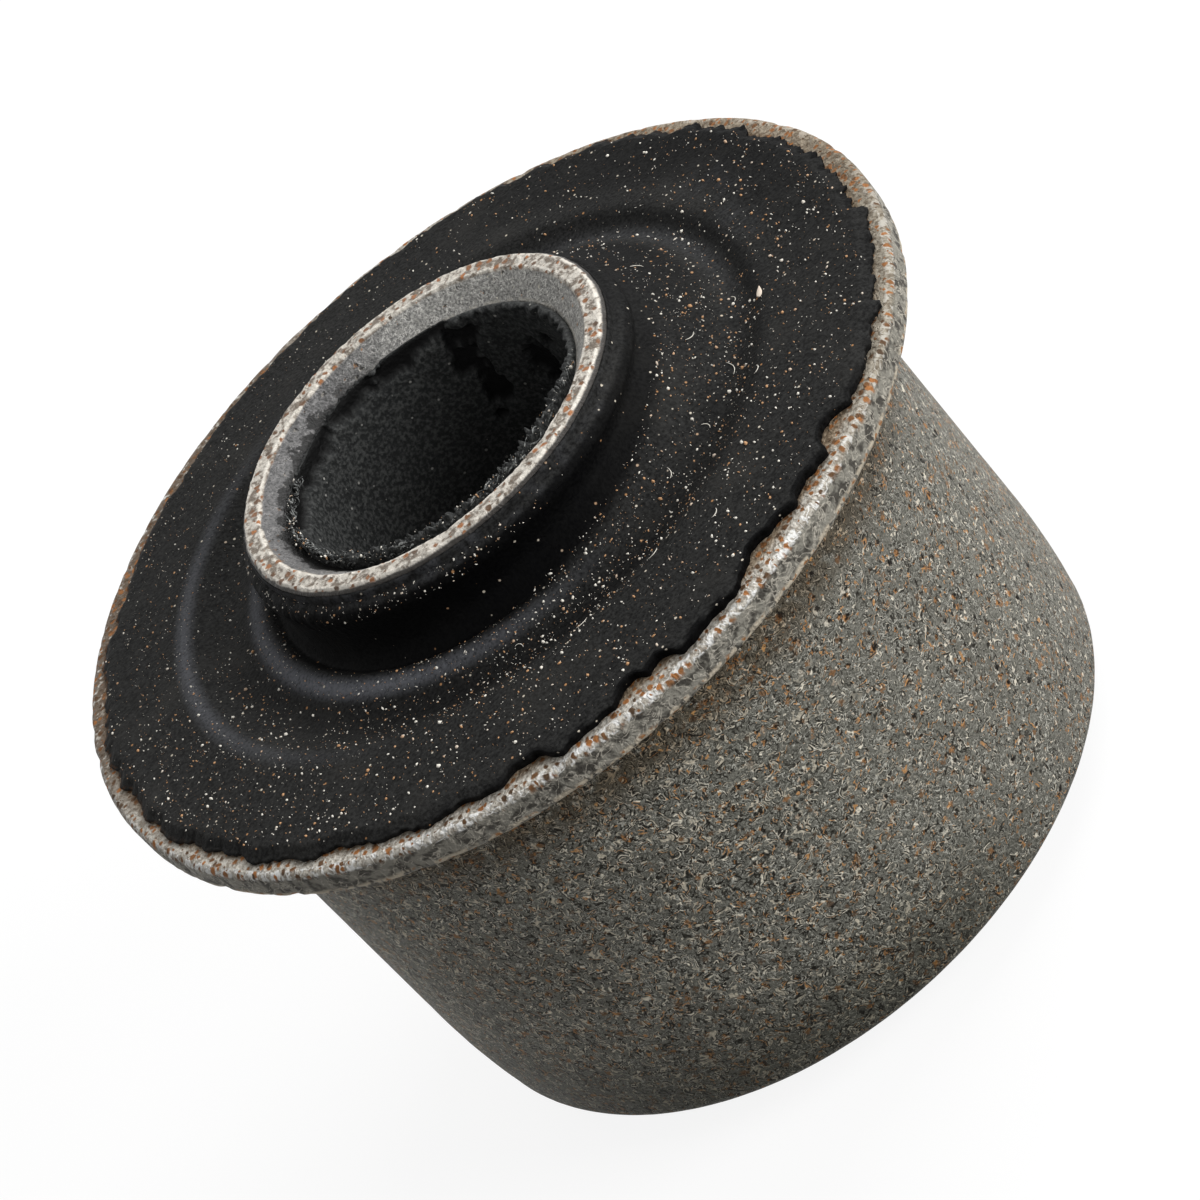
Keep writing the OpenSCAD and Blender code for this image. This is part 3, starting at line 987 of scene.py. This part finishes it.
def make_glints():
    """Pale specks caught on the lining's lip, and on the collar below the sleeve's rim."""
    lip_angle = rng.uniform(140, 330, 280)
    rise = lip_rise(lip_angle) * rng.uniform(0.5, 1.2, len(lip_angle))
    on_lip = spin(lining_r + rng.uniform(0.0, 0.7, len(lip_angle)), lining_top + rise, lip_angle)
    angle = 218 + rng.normal(0, 32, 380)
    bend = np.radians(rng.uniform(0, 84, len(angle)))
    on_collar = spin(sleeve_r + collar_t * np.cos(bend), lip_z + collar_t * np.sin(bend), angle)
    centres = np.concatenate([on_lip, on_collar])
    size = 0.014 + 0.045 * rng.uniform(0, 1, len(centres)) ** 4
    sizes = size[:, None] * rng.uniform(0.4, 2.2, (len(centres), 3))
    points, faces = lumps(centres, sizes, 1, 0.5)
    tone = np.repeat(rng.uniform(0, 0.8, len(centres)), len(points) // len(centres))
    new_piece("glints", points, faces, grit_material(), {"tone": tone})


make_shell()
make_rubber()
make_sleeve()
make_lining()
make_shreds()
make_grit()
make_fibres()
make_glints()


# Stage

def make_floor():
    """Pale floor under the sleeve's lower end."""
    half = 1.5
    level = sleeve_end * MM
    mesh = bpy.data.meshes.new("floor")
    corners = [(-half, -half, level), (half, -half, level), (half, half, level), (-half, half, level)]
    mesh.from_pydata(corners, [], [(0, 1, 2, 3)])
    mesh.materials.append(floor_material())
    floor = bpy.data.objects.new("floor", mesh)
    bpy.context.scene.collection.objects.link(floor)


def make_world():
    """White behind everything the camera and reflections see, and dim grey light all round."""
    world = bpy.data.worlds.new("studio")
    world.use_nodes = True
    tree = world.node_tree
    path = tree.nodes.new("ShaderNodeLightPath").outputs
    glossy = tree.nodes.new("ShaderNodeMath")
    glossy.operation = "MAXIMUM"
    tree.links.new(path["Is Camera Ray"], glossy.inputs[0])
    tree.links.new(path["Is Glossy Ray"], glossy.inputs[1])
    seen = tree.nodes.new("ShaderNodeMath")
    seen.operation = "MAXIMUM"
    tree.links.new(glossy.outputs[0], seen.inputs[0])
    tree.links.new(path["Is Transmission Ray"], seen.inputs[1])
    strength = tree.nodes.new("ShaderNodeMapRange")
    strength.inputs["To Min"].default_value = 0.18
    tree.links.new(seen.outputs[0], strength.inputs["Value"])
    background = tree.nodes["Background"]
    background.inputs["Color"].default_value = (1, 1, 1, 1)
    tree.links.new(strength.outputs[0], background.inputs["Strength"])
    bpy.context.scene.world = world


def make_lamp(name, direction, distance, width, power):
    """Soft square lamp that shines on the part from a direction."""
    light = bpy.data.lights.new(name, "AREA")
    light.size = width
    light.energy = power
    lamp = bpy.data.objects.new(name, light)
    towards = np.array(direction) / np.linalg.norm(direction)
    lamp.location = towards * distance
    lamp.rotation_mode = "QUATERNION"
    lamp.rotation_quaternion = lamp.location.to_track_quat("Z", "Y")
    bpy.context.scene.collection.objects.link(lamp)


def make_camera():
    """Camera at the photograph's angle: a level view from -Y, raised, then rolled about its axis."""
    raised = math.radians(33.17)
    rolled = math.radians(-42.31)
    distance = 9.4538 * flange_r
    pixels = 4650.2
    image = 1200
    aim = np.array([475.4, 479.7])
    ahead = np.array([0, math.cos(raised), -math.sin(raised)])
    level = np.array([1.0, 0, 0])
    upright = np.cross(level, ahead)
    right = math.cos(rolled) * level + math.sin(rolled) * upright
    above = -math.sin(rolled) * level + math.cos(rolled) * upright
    offset = (aim - image / 2) / pixels * distance
    centre = np.array([0, 0, flange_top])
    place = centre - right * offset[0] + above * offset[1] - ahead * distance
    data = bpy.data.cameras.new("camera")
    data.sensor_width = 36
    data.lens = pixels / image * data.sensor_width
    data.clip_start = 0.01
    data.clip_end = 10
    camera = bpy.data.objects.new("camera", data)
    turned = Matrix.Identity(4)
    for column, axis in enumerate((right, above, -ahead, place * MM)):
        for row in range(3):
            turned[row][column] = axis[row]
    camera.matrix_world = turned
    bpy.context.scene.collection.objects.link(camera)
    bpy.context.scene.camera = camera


make_floor()
make_world()
make_lamp("key", (0.67, 0.40, 0.62), 0.45, 0.30, 1.35)
make_lamp("side", (0.79, -0.58, 0.36), 0.5, 0.30, 2.25)
make_lamp("fill", (-0.45, -0.80, 0.40), 0.5, 0.40, 0.2)
make_lamp("top", (-0.05, 0.55, 0.84), 0.5, 0.40, 0.5)
make_camera()
bpy.context.scene.view_settings.view_transform = "Standard"
